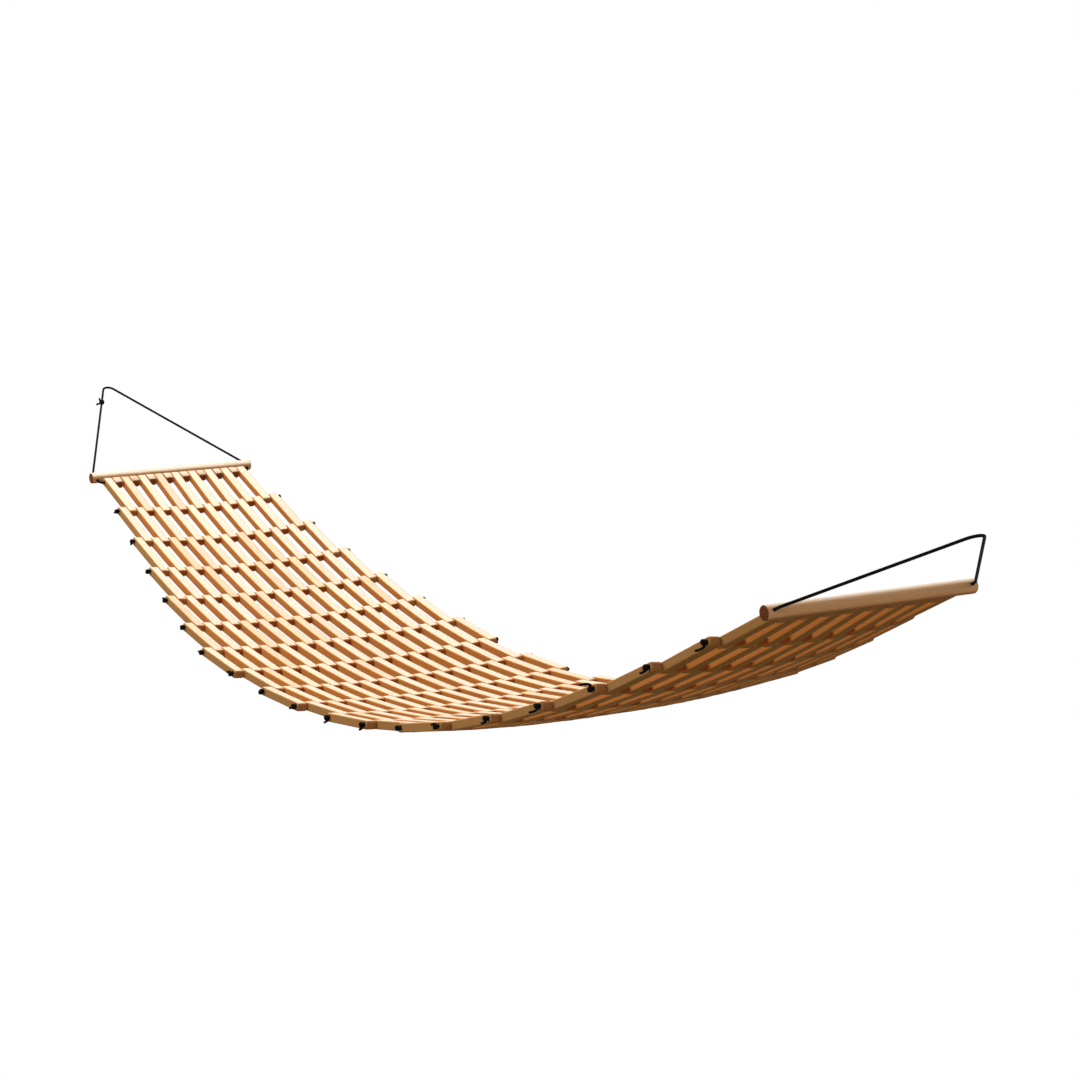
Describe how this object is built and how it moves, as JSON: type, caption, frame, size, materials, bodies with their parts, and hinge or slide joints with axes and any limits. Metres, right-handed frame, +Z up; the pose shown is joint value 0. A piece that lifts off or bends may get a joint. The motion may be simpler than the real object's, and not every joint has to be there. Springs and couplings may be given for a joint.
{
  "type": "wooden slat hammock",
  "caption": "Hanging hammock of wooden slats threaded side by side on knotted black cords, tapering to a round pole at each end and hung from two rope loops.",
  "frame": {"origin": "centre of the left hook, round which the bight of the left rope loop runs", "axes": "+X along the hammock from the left hook to the right hook, +Y across its width, +Z up"},
  "size_m": [3.7165, 0.715, 0.6187],
  "materials": {
    "slat_wood": "planed, pale, oiled",
    "block_wood": "planed, pale, oiled",
    "pole_wood": "turned, smooth",
    "cord_black": "braided cord, matte"
  },
  "bodies": {
    "left_hanger": {"left_rope": "cord_black", "left_rope_run": "cord_black", "left_pole": "pole_wood", "left_block_1": "block_wood", "left_block_2": "block_wood", "left_block_3": "block_wood", "left_block_4": "block_wood", "left_block_5": "block_wood", "left_block_6": "block_wood", "left_block_7": "block_wood", "left_block_8": "block_wood"},
    "row_01": {"left_slat_1": "slat_wood", "left_slat_2": "slat_wood", "left_slat_3": "slat_wood", "left_slat_4": "slat_wood", "left_slat_5": "slat_wood", "left_slat_6": "slat_wood", "left_slat_7": "slat_wood", "left_slat_8": "slat_wood", "left_slat_9": "slat_wood"},
    "row_02": {"row_02": "slat_wood"},
    "row_03": {"row_03": "slat_wood"},
    "row_04": {"row_04": "slat_wood"},
    "row_05": {"row_05": "slat_wood"},
    "row_06": {"row_06": "slat_wood"},
    "row_07": {"row_07": "slat_wood"},
    "row_08": {"row_08": "slat_wood"},
    "row_09": {"row_09": "slat_wood"},
    "row_10": {"row_10": "slat_wood"},
    "row_11": {"row_11": "slat_wood"},
    "row_12": {"row_12": "slat_wood"},
    "row_13": {"row_13": "slat_wood"},
    "row_14": {"row_14": "slat_wood"},
    "row_15": {"row_15": "slat_wood"},
    "row_16": {"row_16": "slat_wood"},
    "row_17": {"row_17": "slat_wood"},
    "row_18": {"row_18": "slat_wood"},
    "row_19": {"right_slat_1": "slat_wood", "right_slat_2": "slat_wood", "right_slat_3": "slat_wood", "right_slat_4": "slat_wood", "right_slat_5": "slat_wood", "right_slat_6": "slat_wood", "right_slat_7": "slat_wood", "right_slat_8": "slat_wood", "right_slat_9": "slat_wood"},
    "right_hanger": {"right_rope": "cord_black", "right_rope_run": "cord_black", "right_pole": "pole_wood", "right_block_1": "block_wood", "right_block_2": "block_wood", "right_block_3": "block_wood", "right_block_4": "block_wood", "right_block_5": "block_wood", "right_block_6": "block_wood", "right_block_7": "block_wood", "right_block_8": "block_wood"}
  },
  "joints": [
    {"name": "left_swing", "type": "hinge", "parent": "left_hanger", "child": "row_01", "pos_m": [0.43343, 0, -0.20999], "axis": [0, -1, 0], "range_deg": [-60, 60]},
    {"name": "hinge_01", "type": "hinge", "parent": "row_01", "child": "row_02", "pos_m": [0.58025, 0, -0.27845], "axis": [0, -1, 0], "range_deg": [-1.83, 8]},
    {"name": "hinge_02", "type": "hinge", "parent": "row_02", "child": "row_03", "pos_m": [0.72918, 0, -0.34219], "axis": [0, -1, 0], "range_deg": [-2.08, 8]},
    {"name": "hinge_03", "type": "hinge", "parent": "row_03", "child": "row_04", "pos_m": [0.88034, 0, -0.40047], "axis": [0, -1, 0], "range_deg": [-2.35, 8]},
    {"name": "hinge_04", "type": "hinge", "parent": "row_04", "child": "row_05", "pos_m": [1.03376, 0, -0.45249], "axis": [0, -1, 0], "range_deg": [-2.63, 8]},
    {"name": "hinge_05", "type": "hinge", "parent": "row_05", "child": "row_06", "pos_m": [1.1894, 0, -0.49742], "axis": [0, -1, 0], "range_deg": [-2.92, 8]},
    {"name": "hinge_06", "type": "hinge", "parent": "row_06", "child": "row_07", "pos_m": [1.34713, 0, -0.53436], "axis": [0, -1, 0], "range_deg": [-3.22, 8]},
    {"name": "hinge_07", "type": "hinge", "parent": "row_07", "child": "row_08", "pos_m": [1.50669, 0, -0.56238], "axis": [0, -1, 0], "range_deg": [-3.28, 8]},
    {"name": "hinge_08", "type": "hinge", "parent": "row_08", "child": "row_09", "pos_m": [1.66759, 0, -0.58122], "axis": [0, -1, 0], "range_deg": [-3.33, 8]},
    {"name": "hinge_09", "type": "hinge", "parent": "row_09", "child": "row_10", "pos_m": [1.82932, 0, -0.59069], "axis": [0, -1, 0], "range_deg": [-3.35, 8]},
    {"name": "hinge_10", "type": "hinge", "parent": "row_10", "child": "row_11", "pos_m": [1.99132, 0, -0.59069], "axis": [0, -1, 0], "range_deg": [-3.35, 8]},
    {"name": "hinge_11", "type": "hinge", "parent": "row_11", "child": "row_12", "pos_m": [2.15304, 0, -0.58122], "axis": [0, -1, 0], "range_deg": [-3.33, 8]},
    {"name": "hinge_12", "type": "hinge", "parent": "row_12", "child": "row_13", "pos_m": [2.31394, 0, -0.56238], "axis": [0, -1, 0], "range_deg": [-3.28, 8]},
    {"name": "hinge_13", "type": "hinge", "parent": "row_13", "child": "row_14", "pos_m": [2.4735, 0, -0.53436], "axis": [0, -1, 0], "range_deg": [-3.22, 8]},
    {"name": "hinge_14", "type": "hinge", "parent": "row_14", "child": "row_15", "pos_m": [2.63123, 0, -0.49742], "axis": [0, -1, 0], "range_deg": [-2.92, 8]},
    {"name": "hinge_15", "type": "hinge", "parent": "row_15", "child": "row_16", "pos_m": [2.78688, 0, -0.45249], "axis": [0, -1, 0], "range_deg": [-2.63, 8]},
    {"name": "hinge_16", "type": "hinge", "parent": "row_16", "child": "row_17", "pos_m": [2.94029, 0, -0.40047], "axis": [0, -1, 0], "range_deg": [-2.35, 8]},
    {"name": "hinge_17", "type": "hinge", "parent": "row_17", "child": "row_18", "pos_m": [3.09145, 0, -0.34219], "axis": [0, -1, 0], "range_deg": [-2.08, 8]},
    {"name": "hinge_18", "type": "hinge", "parent": "row_18", "child": "row_19", "pos_m": [3.24038, 0, -0.27845], "axis": [0, -1, 0], "range_deg": [-1.83, 8]},
    {"name": "right_swing", "type": "hinge", "parent": "row_19", "child": "right_hanger", "pos_m": [3.38721, 0, -0.20999], "axis": [0, -1, 0], "range_deg": [-60, 60]}
  ]
}
